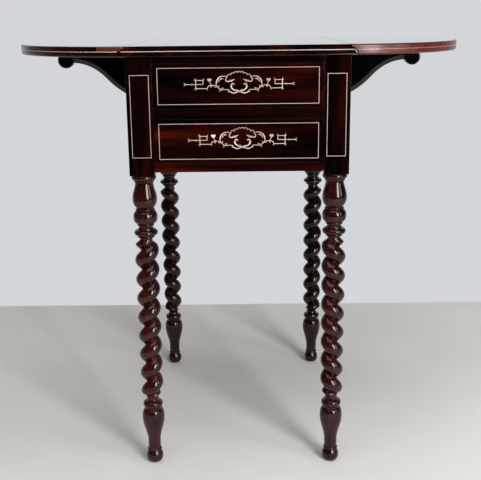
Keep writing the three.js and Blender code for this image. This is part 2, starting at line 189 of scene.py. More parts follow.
def add_node(tree, kind, settings=None, **inputs):
    """A shader node. Inputs are set by name, or linked where the value is a socket."""
    node = tree.nodes.new(kind)
    for key, value in (settings or {}).items():
        setattr(node, key, value)
    for key, value in inputs.items():
        socket = node.inputs[int(key[1:])] if key[0] == "i" and key[1:].isdigit() else node.inputs[key]
        if isinstance(value, bpy.types.NodeSocket):
            tree.links.new(value, socket)
        else:
            socket.default_value = value
    return node


def ramp(tree, factor, stops):
    """The colour at a factor, between stops of (position, colour)."""
    node = add_node(tree, "ShaderNodeValToRGB", Fac=factor)
    elements = node.color_ramp.elements
    while len(elements) < len(stops):
        elements.new(0.5)
    for element, (position, colour) in zip(elements, stops):
        element.position = position
        element.color = (*colour, 1)
    return node.outputs["Color"]


def maths(tree, operation, a, b):
    return add_node(tree, "ShaderNodeMath", {"operation": operation}, i0=a, i1=b).outputs[0]


def mixed(tree, factor, a, b):
    """Colour a at factor 0 and colour b at factor 1."""
    node = add_node(tree, "ShaderNodeMix", {"data_type": "RGBA"})
    for socket, value in ((node.inputs[0], factor), (node.inputs[6], a), (node.inputs[7], b)):
        if isinstance(value, bpy.types.NodeSocket):
            tree.links.new(value, socket)
        else:
            socket.default_value = value
    return node.outputs[2]


def noise(tree, vector, scale, detail=4.0, roughness=0.5, distortion=0.0):
    node = add_node(
        tree, "ShaderNodeTexNoise",
        Vector=vector, Scale=scale, Detail=detail, Roughness=roughness, Distortion=distortion,
    )
    return node.outputs[0]


def along_grain(tree, grain, squeeze, offset=0.0):
    """Object coordinates in metres, squeezed along the grain so that noise runs into streaks."""
    where = add_node(tree, "ShaderNodeTexCoord").outputs["Object"]
    scale = [1.0, 1.0, 1.0]
    scale["XYZ".index(grain)] = squeeze
    shift = (offset, offset * 0.7, offset * 1.3)
    mapping = add_node(tree, "ShaderNodeMapping", Vector=where, Scale=scale, Location=shift)
    return mapping.outputs["Vector"]


def new_material(name):
    material = bpy.data.materials.new(name)
    material.use_nodes = True
    tree = material.node_tree
    return material, tree, tree.nodes["Principled BSDF"]


WAVE_DEPTH = 0.05 * MM
PORE_DEPTH = 0.04 * MM
SCRATCH_DEPTH = 0.05 * MM
PORE_COLOUR = (0.004, 0.002, 0.002, 1)
FIGURE_SHARE, LINE_SHARE = 0.72, 0.28


def wood(name, grain, stops, roughness, coat, offset=0.0, pores=0.45, tint=None, ior=1.45):
    """Streaked wood: broad figure, fine grain lines and open pores along one axis. roughness
    is its lowest and highest value, and pores how much the open pores darken it."""
    material, tree, shader = new_material(name)
    broad = noise(tree, along_grain(tree, grain, 0.10, offset), 16.0, 5.0, 0.55, 0.6)
    lines = noise(tree, along_grain(tree, grain, 0.035, offset), 150.0, 5.0, 0.65, 0.2)
    figure = maths(tree, "ADD", maths(tree, "MULTIPLY", broad, FIGURE_SHARE),
                   maths(tree, "MULTIPLY", lines, LINE_SHARE))
    colour = ramp(tree, figure, stops)
    pore = noise(tree, along_grain(tree, grain, 0.03, offset + 3), 1500.0, 2.0, 0.5)
    open_pore = ramp(tree, pore, [(0.60, (0, 0, 0)), (0.70, (1, 1, 1))])
    darkened = mixed(tree, maths(tree, "MULTIPLY", open_pore, pores), colour, PORE_COLOUR)
    if tint:
        darkened = tint(tree, darkened)
    tree.links.new(darkened, shader.inputs["Base Color"])
    smear = noise(tree, along_grain(tree, grain, 0.5, offset + 7), 9.0, 5.0, 0.6)
    limits = {"From Min": 0.3, "From Max": 0.7, "To Min": roughness[0], "To Max": roughness[1]}
    span = add_node(tree, "ShaderNodeMapRange", Value=smear, **limits)
    tree.links.new(span.outputs[0], shader.inputs["Roughness"])
    ripple = noise(tree, along_grain(tree, grain, 0.4, offset), 22.0, 2.0, 0.4)
    waves = add_node(tree, "ShaderNodeBump", Height=ripple, Strength=1.0, Distance=WAVE_DEPTH)
    grooves = add_node(
        tree, "ShaderNodeBump", {"invert": True},
        Height=open_pore, Strength=0.2, Distance=PORE_DEPTH, Normal=waves.outputs[0],
    )
    tree.links.new(grooves.outputs[0], shader.inputs["Normal"])
    shader.inputs["IOR"].default_value = ior
    shader.inputs["Coat Weight"].default_value = coat
    shader.inputs["Coat Roughness"].default_value = 0.05
    return material


# Colours of the woods: (position in the figure, colour)
ROSEWOOD = [
    (0.42, (0.0008, 0.0002, 0.0002)),
    (0.50, (0.0060, 0.0007, 0.0004)),
    (0.57, (0.0230, 0.0018, 0.0009)),
    (0.68, (0.0700, 0.0060, 0.0026)),
]
# Painted shade: the rosewood darkened for parts in shadow, that is the top rail under the top, the
# brackets and the undersides of the top and the leaves
PAINTED_SHADE = [
    (0.44, (0.0004, 0.0002, 0.0002)),
    (0.56, (0.0020, 0.0006, 0.0005)),
    (0.70, (0.0090, 0.0018, 0.0012)),
]
TURNED = [
    (0.38, (0.0028, 0.0006, 0.0006)),
    (0.48, (0.0100, 0.0017, 0.0014)),
    (0.58, (0.0290, 0.0042, 0.0036)),
    (0.72, (0.0760, 0.0125, 0.0100)),
]
OAK = [
    (0.30, (0.150, 0.082, 0.040)),
    (0.50, (0.270, 0.160, 0.083)),
    (0.70, (0.390, 0.250, 0.140)),
]


def old_repair(tree, colour):
    """A newer, redder strip of veneer let into the upper half of one leaf's edge by its joint."""
    where = add_node(tree, "ShaderNodeTexCoord").outputs["Object"]
    axes = add_node(tree, "ShaderNodeSeparateXYZ", Vector=where).outputs
    limits = [
        maths(tree, "GREATER_THAN", axes["X"], REPAIR_X[0]),
        maths(tree, "LESS_THAN", axes["X"], REPAIR_X[1]),
        maths(tree, "LESS_THAN", axes["Y"], REPAIR_BACK),
        maths(tree, "GREATER_THAN", axes["Z"], STRING_Z + EDGE_STRING_HEIGHT / 2),
        maths(tree, "LESS_THAN", axes["Z"], TABLE_HEIGHT - REPAIR_DROP),
    ]
    inside = limits[0]
    for limit in limits[1:]:
        inside = maths(tree, "MULTIPLY", inside, limit)
    fresh = mixed(tree, 0.8, colour, (0.105, 0.030, 0.022, 1))
    return mixed(tree, inside, colour, fresh)


def painted_light_edge(tree, colour):
    """The edge of the other leaf, painted a lighter red below its polished upper arris: painted light,
    where the window light falls on it.
    """
    where = add_node(tree, "ShaderNodeTexCoord").outputs["Object"]
    height = add_node(tree, "ShaderNodeSeparateXYZ", Vector=where).outputs["Z"]
    below = maths(tree, "LESS_THAN", height, TABLE_HEIGHT - LIT_EDGE_DROP)
    streaks = noise(tree, along_grain(tree, "X", 0.12, 2.0), 220.0, 4.0, 0.6)
    lit_red = ramp(tree, streaks, LIT_EDGE_STOPS)
    return mixed(tree, below, colour, lit_red)


# Painted light: the lit red of the right leaf's edge
LIT_EDGE_STOPS = [(0.35, (0.030, 0.0033, 0.0033)), (0.65, (0.112, 0.015, 0.012))]


def inlay_material(name, pale, warm):
    """Pale holly or maple: nearly even, with faint streaks and a little shellac yellowing."""
    material, tree, shader = new_material(name)
    broad = noise(tree, along_grain(tree, "X", 0.3), 60.0, 3.0, 0.5)
    fine = noise(tree, along_grain(tree, "X", 0.1), 900.0, 3.0, 0.6)
    both = maths(tree, "ADD", maths(tree, "MULTIPLY", broad, 0.7),
                 maths(tree, "MULTIPLY", fine, 0.3))
    tree.links.new(ramp(tree, both, [(0.36, warm), (0.62, pale)]), shader.inputs["Base Color"])
    shader.inputs["Roughness"].default_value = 0.32
    shader.inputs["Coat Weight"].default_value = 0.4
    shader.inputs["Coat Roughness"].default_value = 0.08
    bump = add_node(tree, "ShaderNodeBump", Height=fine, Strength=0.2, Distance=SCRATCH_DEPTH)
    tree.links.new(bump.outputs[0], shader.inputs["Normal"])
    return material


def metal_material(name, clean, dull, roughness):
    """Old hardware: bright in places, tarnished and rougher in others."""
    material, tree, shader = new_material(name)
    where = add_node(tree, "ShaderNodeTexCoord").outputs["Object"]
    tarnish = noise(tree, where, 90.0, 6.0, 0.65)
    tree.links.new(ramp(tree, tarnish, [(0.40, clean), (0.62, dull)]), shader.inputs["Base Color"])
    rough = ramp(tree, tarnish, [(0.35, (roughness,) * 3), (0.70, (roughness + 0.25,) * 3)])
    tree.links.new(rough, shader.inputs["Roughness"])
    shader.inputs["Metallic"].default_value = 1.0
    scratches = noise(tree, where, 1400.0, 2.0, 0.5)
    bump = add_node(tree, "ShaderNodeBump", Height=scratches, Strength=0.15, Distance=SCRATCH_DEPTH)
    tree.links.new(bump.outputs[0], shader.inputs["Normal"])
    return material


# Sizes from the frame ---------------------------------------------------------------

TABLE_HEIGHT = cad_high.z
top_low, top_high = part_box("fixed_top")
TOP_UNDERSIDE = top_low.z
PROUD = 0.1 * MM  # the stringing stands this far out of the wood round it
TOP_HALF_DEPTH = top_high.y - PROUD
STRING_Z = (TABLE_HEIGHT + TOP_UNDERSIDE) / 2
OVOLO = 10.8 * MM
JOINT_LINE = top_high.x - OVOLO
axis_low, axis_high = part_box("hinge_front_pin_right")
HINGE_AXIS_Z = (axis_low.z + axis_high.z) / 2
JOINT_GAP = 0.9 * MM  # between the ovolo or the joint line and the leaf
COVE = OVOLO + JOINT_GAP
LEAF_REACH = cad_high.x - JOINT_LINE - PROUD
EDGE_STRING_HEIGHT = 1.2 * MM
EDGE_STRING_DEPTH = 0.6 * MM
INLAY_DEPTH = 0.3 * MM
STRING_DEPTH = 0.5 * MM
TOP_ARRIS = 3 * MM
REPAIR_X = (-JOINT_LINE - 45 * MM, -JOINT_LINE)
REPAIR_BACK = -0.2  # the repair is in front of this Y
REPAIR_DROP = 1.2 * MM  # from the top surface to the repair
# From the top surface down to where the painted light on the right leaf's edge begins
LIT_EDGE_DROP = 0.8 * MM
NEARLY_LEVEL = 0.99  # the Z of a flat top or bottom face's normal

rosewood_x = wood("rosewood_across", "X", ROSEWOOD, (0.05, 0.10), 0.0)
rosewood_y = wood("rosewood_deep", "Y", ROSEWOOD, (0.06, 0.11), 0.9, 1.9)
rosewood_z = wood("rosewood_upright", "Z", ROSEWOOD, (0.05, 0.10), 0.0, 2.7)
rosewood_turned = wood("rosewood_turned", "Z", TURNED, (0.06, 0.12), 0.0, 4.2, ior=1.4)
# The rosewood with painted shade in its colour
rosewood_painted_shade = wood("rosewood_painted_shade", "X", PAINTED_SHADE, (0.06, 0.12), 0.0, 5.3)
left_leaf = wood("rosewood_left_edge", "X", ROSEWOOD, (0.18, 0.26), 0.0, 8.3, tint=old_repair)
# The right leaf's edge carries painted light
right_leaf = wood("rosewood_right_edge_painted_light", "X", ROSEWOOD, (0.24, 0.36), 0.0, 6.1, tint=painted_light_edge)
leaf_face = wood("rosewood_leaf_face", "Y", ROSEWOOD, (0.06, 0.11), 0.9, 7.2)
rosewood_side = wood("rosewood_side", "Y", ROSEWOOD, (0.20, 0.30), 0.0, 1.9, ior=1.4)
# Painted shade on the undersides of the top and the leaves: the darkened rosewood colours, duller
rosewood_under_painted_shade = wood("rosewood_underside_painted_shade", "Y", PAINTED_SHADE, (0.45, 0.60), 0.0, 3.4, ior=1.4)
oak_x = wood("oak_across", "X", OAK, (0.45, 0.6), 0.0, 2.5, 0.35)
oak_y = wood("oak_deep", "Y", OAK, (0.45, 0.6), 0.0, 5.5, 0.35)
stringing = inlay_material("stringing", (0.56, 0.46, 0.40), (0.42, 0.33, 0.28))
stained_stringing = inlay_material("stained_stringing", (0.36, 0.13, 0.10), (0.22, 0.06, 0.05))
marquetry = inlay_material("marquetry", (0.86, 0.69, 0.58), (0.62, 0.46, 0.37))
pearl = inlay_material("pearl", (0.95, 0.93, 0.90), (0.80, 0.77, 0.74))
dull_pearl = inlay_material("dull_pearl", (0.52, 0.49, 0.45), (0.17, 0.15, 0.13))
brass = metal_material("old_brass", (0.42, 0.28, 0.11), (0.16, 0.10, 0.05), 0.32)
iron = metal_material("old_iron", (0.12, 0.11, 0.10), (0.05, 0.035, 0.03), 0.45)


# Legs -------------------------------------------------------------------------------

# Heights and radii of the turnings are in millimetres.
TWIST_BOTTOM = 125.5
TWIST_TOP = 419
TWIST_PITCH = 34.6
TWIST_CREST = (19.5, 20.9)  # at the bottom and at the top
TWIST_NECK = (10.3, 10.8)
TWIST_VALLEY = 7.8
TWIST_FULLNESS = 0.74  # below 1, the strand is fuller and its valley sharper
TWIST_FADE = 11
TWIST_STEP = 1.5


def bead(low, high, neck, belly, steps=9):
    """A half-round moulding standing out of a neck."""
    points = []
    for i in range(steps + 1):
        t = 2 * i / steps - 1
        angle = t * math.pi / 2
        points.append(((low + high) / 2 + (high - low) / 2 * math.sin(angle),
                       neck + (belly - neck) * math.cos(angle)))
    return points


def flank(low, high, start, end, steps=10):
    """A smooth slope from one radius to another."""
    return [(low + (high - low) * i / steps, start + (end - start) * smoothstep(i / steps))
            for i in range(steps + 1)]


def shoulder(low, high, start, end, steps=7):
    """A quarter-round from the wide end inwards."""
    points = []
    for i in range(steps + 1):
        angle = math.pi / 2 * i / steps
        points.append((low + (high - low) * math.sin(angle), end + (start - end) * math.cos(angle)))
    return points


def twist_heights():
    """Close rings over the length of the twist."""
    length = TWIST_TOP - TWIST_BOTTOM
    count = round(length / TWIST_STEP)
    return [(TWIST_BOTTOM + length * i / count, TWIST_VALLEY) for i in range(count + 1)]


FOOT = [
    (0, 9.0), (0.4, 10.0), (1.4, 11.3), (2.8, 12.5), (4.6, 13.6), (6.6, 14.4), (9, 14.9),
    (11.8, 15.0), (14.4, 14.7), (17, 14.0), (19.2, 13.0), (21, 12.0), (22.2, 11.3), (22.8, 11.3),
    *bead(23, 27, 11.4, 12.9, 6), (27.6, 11.4), (29, 11.2), *flank(42, 87, 11.3, 19.8, 13),
    *shoulder(89.5, 104.2, 19.8, 14.6), (104.6, 13.8), (107.4, 13.8), *bead(107.8, 119.4, 13.4, 17.5, 9),
    (119.8, 12.0), *flank(120.4, 124, 11.2, 10.3, 3),
]
HEAD = [
    (420, 10.8), (421.6, 11.0), (422.2, 13.9), (422.9, 14.6), (424.8, 14.6), (425.2, 14.3),
    *bead(425.6, 435.6, 14.6, 20.1, 10), *shoulder(436, 438.9, 13.8, 11.8, 4),
    (441, 11.8), (442.2, 12.7), (442.7, 14.0), (443.3, 14.5), (445.8, 14.5), (446.3, 14.1),
    *bead(446.8, 468.4, 14.8, 20.6, 13), (468.7, 15.2), *bead(468.9, 471.8, 15.2, 16.6, 5),
    (472.1, 14.4), (474.0, 14.4), (474.3, 15.4), (476, 16.8), (478.5, 18.4), (481.5, 19.7),
    (485, 20.6), (489, 20.9), (493, 20.6), (497.5, 19.8), (502, 18.5), (506.5, 17.1), (511, 16.0),
    (515, 15.4), (517.4, 15.4), (518.0, 16.8), (518.6, 17.2), (520.0, 17.2), (520.4, 16.8),
    *bead(520.7, 530.4, 16.8, 20.9, 9), (530.5, 18.6), (533, 18.6),
]


def turned_radius(hand, phase):
    """Radius of a leg in millimetres at a height and azimuth: inside the twist, one strand
    that winds round the leg, standing out towards +X at the height called phase."""
    def radius_at(height, azimuth, radius):
        z = height / MM
        if not TWIST_BOTTOM <= z <= TWIST_TOP:
            return radius
        along = (z - TWIST_BOTTOM) / (TWIST_TOP - TWIST_BOTTOM)
        crest = TWIST_CREST[0] + (TWIST_CREST[1] - TWIST_CREST[0]) * along
        turn = azimuth - hand * 2 * math.pi * (z - phase) / TWIST_PITCH
        strand = TWIST_VALLEY + (crest - TWIST_VALLEY) * abs(math.cos(turn / 2)) ** TWIST_FULLNESS
        neck = TWIST_NECK[0] if along < 0.5 else TWIST_NECK[1]
        grown = smoothstep(min(z - TWIST_BOTTOM, TWIST_TOP - z) / TWIST_FADE)
        return (neck + (strand - neck) * grown) * MM
    return radius_at


def leg(name, hand, phase):
    """A turned leg and its square block, each with its own finish."""
    low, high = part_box(name)
    centre = Vector(((low.x + high.x) / 2, (low.y + high.y) / 2, 0))
    half = (high.x - low.x) / 2
    profile = [(z * MM, r * MM) for z, r in [*FOOT, *twist_heights(), *HEAD]]
    bm = bmesh.new()
    lathe(bm, profile, centre, radius_at=turned_radius(hand, phase))
    turning = set(bm.faces)
    block_low = centre - Vector((half, half, 0)) + Vector((0, 0, BLOCK_BOTTOM))
    block_high = centre + Vector((half, half, 0)) + Vector((0, 0, high.z))
    soft_box(bm, block_low, block_high, FRONT_ARRIS)
    for face in bm.faces:
        face.material_index = 0 if face in turning else 1
    piece = finish_mesh(name + "_turned", bm, rosewood_turned, 40)
    piece.data.materials.append(rosewood_z)
    return place(piece, "rosewood", name)


BLOCK_BOTTOM = 530.6 * MM
LEG_TWISTS = {  # hand and phase
    "leg_front_left": (1, 260), "leg_front_right": (-1, 280.6),
    "leg_back_left": (-1, 255.2), "leg_back_right": (1, 275.6),
}
for name, (hand, phase) in LEG_TWISTS.items():
    leg(name, hand, phase)


# Top and leaves ----------------------------------------------------------------------

def fixed_top():
    """The fixed top: rule-joint edges on the sides, rounded arrises front and back."""
    fillet = HINGE_AXIS_Z + OVOLO
    eased = 0.3 * MM
    half = [(JOINT_LINE - eased, TABLE_HEIGHT), (JOINT_LINE, TABLE_HEIGHT - eased),
            (JOINT_LINE, fillet)]
    steps = 14
    for i in range(1, steps + 1):
        angle = math.pi / 2 * (1 - i / steps)
        half.append((JOINT_LINE + OVOLO * math.cos(angle), HINGE_AXIS_Z + OVOLO * math.sin(angle)))
    half.append((JOINT_LINE + OVOLO, TOP_UNDERSIDE))
    section = half + [(-x, z) for x, z in reversed(half)]
    bm = bmesh.new()
    rings = [
        [bm.verts.new((x, y, z)) for x, z in section] for y in (-TOP_HALF_DEPTH, TOP_HALF_DEPTH)
    ]
    ring_faces(bm, rings)
    same = 1e-6
    arrises = [
        edge for edge in bm.edges
        if abs(edge.verts[0].co.y - edge.verts[1].co.y) < same and edge.calc_length() > JOINT_LINE
    ]
    bmesh.ops.bevel(bm, geom=arrises, offset=TOP_ARRIS, segments=5, profile=0.5, affect="EDGES")
    piece = finish_mesh("fixed_top_board", bm, rosewood_y, 30)
    # Faces that look straight down take the underside rosewood, darkened as painted shade
    piece.data.materials.append(rosewood_under_painted_shade)
    for polygon in piece.data.polygons:
        if polygon.normal.z < -NEARLY_LEVEL:
            polygon.material_index = 1
    return place(piece, "rosewood", "fixed_top")


def ellipse_point(angle, inset):
    """A point of the leaf's outline, moved in from the edge, on the right-hand side."""
    x = LEAF_REACH * math.cos(angle)
    y = TOP_HALF_DEPTH * math.sin(angle)
    normal = Vector((x / LEAF_REACH ** 2, y / TOP_HALF_DEPTH ** 2)).normalized()
    return JOINT_LINE + x - normal.x * inset, y - normal.y * inset


def cut_away(piece, bm_tool):
    """Takes a tool mesh out of a piece."""
    tool = finish_mesh("cutter", bm_tool, piece.data.materials[0])
    modifier = piece.modifiers.new("cut", "BOOLEAN")
    modifier.operation = "DIFFERENCE"
    modifier.solver = "EXACT"
    modifier.object = tool
    graph = bpy.context.evaluated_depsgraph_get()
    mesh = bpy.data.meshes.new_from_object(piece.evaluated_get(graph))
    piece.modifiers.clear()
    piece.data = mesh
    bpy.data.objects.remove(tool)
    mesh.shade_smooth()
    mesh.set_sharp_from_angle(angle=math.radians(30))
    settle_normals(piece)


def leaf(label, side):
    """A half ellipse with a rounded edge, and the cove of the rule joint cut into it."""
    sections = []
    arris_steps = 5
    for i in range(arris_steps + 1):
        angle = math.pi / 2 * i / arris_steps
        inset, drop = TOP_ARRIS * (1 - math.sin(angle)), TOP_ARRIS * (1 - math.cos(angle))
        sections.append((inset, TABLE_HEIGHT - drop))
    sections += [(inset, TABLE_HEIGHT + TOP_UNDERSIDE - z) for inset, z in reversed(sections)]
    bm = bmesh.new()
    rings = []
    steps = 96
    for inset, z in sections:
        ring = []
        for i in range(steps + 1):
            x, y = ellipse_point(math.pi * (i / steps - 0.5), inset)
            ring.append(bm.verts.new((side * max(x, JOINT_LINE + JOINT_GAP), y, z)))
        rings.append(ring)
    ring_faces(bm, rings)
    piece = finish_mesh(f"leaf_{label}_board", bm, left_leaf if side < 0 else right_leaf, 30)
    tool = bmesh.new()
    beyond = 5 * MM  # how far the cutters reach past the wood
    length = TOP_HALF_DEPTH + 2 * beyond
    turn = Matrix.Rotation(math.pi / 2, 3, "X")
    centre = Vector((side * JOINT_LINE, 0, HINGE_AXIS_Z))
    lathe(tool, [(-length, COVE), (length, COVE)], centre, turn, sides=96)
    cut_away(piece, tool)
    tool = bmesh.new()
    near, far = sorted((side * (JOINT_LINE - beyond), side * (JOINT_LINE + COVE)))
    add_box(tool, (near, -length, TOP_UNDERSIDE - beyond), (far, length, HINGE_AXIS_Z))
    cut_away(piece, tool)
    first = len(piece.data.materials)
    # Level faces: the top takes the leaf's face finish, the underside the rosewood darkened as painted
    # shade
    piece.data.materials.append(leaf_face)
    piece.data.materials.append(rosewood_under_painted_shade)
    for polygon in piece.data.polygons:
        if abs(polygon.normal.z) > NEARLY_LEVEL:
            polygon.material_index = first if polygon.normal.z > 0 else first + 1
    return place(piece, "rosewood", f"leaf_{label}")


def leaf_string(label, side):
    """The pale line round the middle of the leaf's edge."""
    node = f"leaf_string_{label}"
    near = JOINT_LINE + 9.4 * MM
    bm = bmesh.new()
    rings = []
    steps = 120
    for i in range(steps + 1):
        angle = math.pi * (i / steps - 0.5)
        outer = ellipse_point(angle, -PROUD)
        if outer[0] < near:
            continue
        inner = ellipse_point(angle, EDGE_STRING_DEPTH)
        half = EDGE_STRING_HEIGHT / 2
        corners = ((outer, -half), (outer, half), (inner, half), (inner, -half))
        rings.append([bm.verts.new((side * x, y, STRING_Z + z)) for (x, y), z in corners])
    ring_faces(bm, rings)
    pale = stringing if side < 0 else stained_stringing
    return place(finish_mesh(f"leaf_{label}_line", bm, pale), "inlay", node)


def top_string(label, side):
    """The pale line along the top's edge, turned down round the rule joint at one end."""
    node = "top_string_" + label
    face = side * (TOP_HALF_DEPTH + PROUD)
    back = side * (TOP_HALF_DEPTH - EDGE_STRING_DEPTH)
    half = EDGE_STRING_HEIGHT / 2
    bm = bmesh.new()
    end = JOINT_LINE + 6.2 * MM
    inner, outer = OVOLO - 1.9 * MM, OVOLO - 0.9 * MM
    add_box(bm, (-end, min(face, back), STRING_Z - half), (end, max(face, back), STRING_Z + half))
    rings = []
    for i in range(13):
        angle = math.radians(62 - 4 * i)
        ring = []
        for radius, y in ((inner, face), (outer, face), (outer, back), (inner, back)):
            x, z = JOINT_LINE + radius * math.cos(angle), HINGE_AXIS_Z + radius * math.sin(angle)
            ring.append(bm.verts.new((x, y, z)))
        rings.append(ring)
    ring_faces(bm, rings)
    return place(finish_mesh(f"top_{label}_line", bm, stringing), "inlay", node)


fixed_top()
for label, side in SIDES.items():
    leaf(label, side)
    leaf_string(label, side)
top_string("front", -1)
top_string("back", 1)


# Stringing and marquetry on the front ---------------------------------------------------

STRING_INSETS = (0.6 * MM, 1.45 * MM)  # its two edges, from the node's outline


def string_frame(node, face):
    """A mitred rectangle of stringing, a hair proud of the face that it is let into."""
    low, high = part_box(node)
    bm = bmesh.new()
    loops = []
    for inset in STRING_INSETS:
        x0, x1 = low.x + inset, high.x - inset
        z0, z1 = low.z + inset, high.z - inset
        corners = ((x0, z0), (x1, z0), (x1, z1), (x0, z1))
        for y in (face - PROUD, face + STRING_DEPTH):
            loops.append([bm.verts.new((x, y, z)) for x, z in corners])
    outer_front, outer_back, inner_front, inner_back = loops
    for a, b in ((outer_front, inner_front), (inner_front, inner_back),
                 (inner_back, outer_back), (outer_back, outer_front)):
        for i in range(4):
            j = (i + 1) % 4
            bm.faces.new((a[i], a[j], b[j], b[i]))
    return place(finish_mesh(node + "_line", bm, stringing), "inlay", node)


def ribbon(bm, path, widths, face, centre, mirror=1, steps=5):
    """A thin inlaid band along a smooth path. path and widths are in millimetres, x to the
    right and z up from the centre of the ornament."""
    count = len(path)
    if len(widths) != count:
        widths = [widths[0] + (widths[-1] - widths[0]) * i / (count - 1) for i in range(count)]
    curve = catmull([(x, z, w) for (x, z), w in zip(path, widths)], steps if count > 2 else 2)
    rings = []
    for i, (x, z, w) in enumerate(curve):
        before = curve[max(0, i - 1)]
        after = curve[min(len(curve) - 1, i + 1)]
        along = Vector((after[0] - before[0], after[1] - before[1]))
        across = Vector((-along.y, along.x)).normalized() * max(w, THINNEST) / 2
        front, back = face - PROUD, face + INLAY_DEPTH
        ring = []
        for sign, y in ((1, front), (-1, front), (-1, back), (1, back)):
            point = (mirror * (x + sign * across.x) * MM, y, (z + sign * across.y) * MM)
            ring.append(bm.verts.new(centre + Vector(point)))
        rings.append(ring)
    ring_faces(bm, rings)


THINNEST = 0.12

# Half of the ornament, left of its middle: (points, widths)
BARS = [
    ([(-86, -1.6), (-69.6, -1.6)], [0.9, 0.9]),
    ([(-88.6, 0.9), (-87, -0.6), (-85.4, -1.6)], [0.4, 1.0, 0.9]),
    ([(-88.6, -4.1), (-87, -2.6), (-85.4, -1.6)], [0.4, 1.0, 0.9]),
    ([(-77.6, -1.6), (-75.6, -1.6), (-73.2, -1.6)], [0.2, 2.7, 0.2]),
    ([(-70.8, 8.0), (-69.6, 5.6), (-69.4, -8.6), (-70.2, -11.0)], [0.3, 1.1, 1.1, 0.3]),
    ([(-72.4, 5.4), (-69.6, 4.6)], [0.3, 1.0]),
    ([(-72.2, -9.0), (-69.4, -8.2)], [0.3, 1.0]),
    ([(-69.6, 4.9), (-57.6, 4.9)], [0.9, 0.9]),
    ([(-56.2, 7.6), (-57.6, 5.2), (-57.6, -1.6)], [0.3, 1.0, 0.9]),
    ([(-57.6, -1.5), (-69.6, -1.6)], [0.9, 0.9]),
    ([(-69.6, -8.0), (-51.6, -8.2)], [1.0, 1.0]),
    ([(-51.8, -8.0), (-50.6, -9.4), (-50.4, -11.2)], [1.1, 0.9, 0.2]),
    ([(-51.6, -8.2), (-49.8, -5.4), (-47.4, -3.6), (-43.6, -3.1)], [0.9, 1.0, 1.2, 1.0]),
]
SCROLLS = [
    ([(-44.4, -3.2), (-45.6, -0.6), (-46.9, 2.0)], [1.2, 0.7, 0.6]),
    ([(-45.2, -3.2), (-44.4, -5.2), (-45.2, -6.8)], [1.2, 1.5, 0.2]),
    ([(-43.6, -3.1), (-39.4, -3.5), (-35.4, -5.2)], [0.9, 0.9, 1.2]),
    ([(-39.4, -6.8), (-37.4, -5.4), (-35.4, -5.2)], [0.2, 1.3, 1.2]),
    ([(-35.6, -5.0), (-36.6, -1.6), (-36.3, 2.4), (-34.4, 6.4), (-30.8, 9.8), (-26.4, 11.2),
      (-22.0, 10.8), (-19.2, 8.8)], [1.0, 1.2, 1.7, 2.0, 1.3, 0.9, 0.8, 0.7]),
    ([(-34.4, 1.2), (-32.4, 3.4), (-31.2, 6.2)], [0.2, 1.1, 1.0]),
    ([(-32.4, 4.4), (-29.8, 6.6), (-27.0, 7.4), (-25.2, 6.8)], [0.8, 1.5, 1.1, 0.2]),
    ([(-19.2, 8.8), (-21.4, 6.8), (-21.0, 4.0), (-18.4, 2.6), (-16.0, 3.4), (-15.6, 5.4)],
     [0.7, 1.0, 1.3, 1.5, 1.3, 0.3]),
    ([(-17.2, 2.8), (-12.8, 3.4), (-9.6, 5.2), (-6.2, 6.4)], [1.3, 1.6, 1.4, 0.2]),
    ([(-13.0, 6.4), (-12.4, 4.0), (-10.6, 2.0)], [0.2, 1.1, 0.2]),
    ([(-19.6, 9.4), (-18.6, 10.8), (-18.6, 11.6)], [0.7, 0.8, 0.8]),
]
BASE = [
    ([(-35.4, -5.2), (-33.4, -7.2), (-31.4, -8.8), (-29.4, -10.4)], [1.3, 1.2, 1.1, 1.0]),
    ([(-30.6, -9.4), (-30.4, -11.8), (-31.6, -14.0)], [1.1, 1.1, 0.2]),
    ([(-34.4, -6.4), (-32.6, -4.6), (-32.4, -2.8)], [1.0, 1.1, 0.2]),
    ([(-29.4, -10.4), (-26.0, -10.4), (-21, -10.0), (-16.8, -10.2)], [1.0, 0.9, 0.9, 0.9]),
    ([(-27.2, -10.2), (-26.4, -8.2), (-24.6, -6.6)], [1.0, 1.3, 0.2]),
    ([(-26.6, -9.8), (-28.2, -8.0), (-28.6, -7.0)], [0.9, 1.0, 0.2]),
    ([(-16.8, -10.2), (-15.2, -12.6), (-12.2, -14.8), (-8.4, -15.6), (-4.4, -14.6), (-1, -13.0),
      (2.8, -11.2), (5.0, -9.6)], [0.9, 1.2, 1.5, 1.8, 1.4, 1.1, 0.9, 0.8]),
    ([(-15.4, -12.0), (-17.0, -13.2), (-17.2, -14.8)], [1.0, 1.0, 0.2]),
    ([(-7.6, -2.6), (-8.6, -1.0), (-11.0, -0.9), (-12.4, -3.0), (-11.2, -5.0)],
     [0.8, 1.4, 1.8, 2.2, 1.6]),
    ([(-12.6, -2.2), (-12.8, -5.4), (-10.6, -8.8), (-7.0, -11.2), (-3.0, -12.8), (1.4, -14.4)],
     [1.4, 2.4, 2.3, 1.8, 1.2, 0.9]),
]
ARCH = [(-19.0, 10.8), (-13.0, 12.2), (-7.6, 15.2), (-2.5, 16.4)]  # corners between its scallops
SCALLOP_RISE = 2.7
SCALLOP_STEPS = 8
ARCH_WIDTH = 0.55
LINE_WEIGHT = 0.84  # of the other lines' widths


def scalloped_arch():
    """Half of the arch over the middle of the ornament: a row of small scallops."""
    last = ARCH[-1]
    points = []
    for (x0, z0), (x1, z1) in zip(ARCH, [*ARCH[1:], (-last[0], last[1])]):
        across = Vector((z0 - z1, x1 - x0)).normalized()
        for i in range(SCALLOP_STEPS + 1):
            t = i / SCALLOP_STEPS
            lift = SCALLOP_RISE * math.sin(math.pi * t) ** 0.6 if 0 < i < SCALLOP_STEPS else 0
            x, z = x0 + (x1 - x0) * t + across.x * lift, z0 + (z1 - z0) * t + across.y * lift
            past_middle = x >= 0.1
            if not past_middle and (x, z) not in points:
                points.append((x, z))
    return points


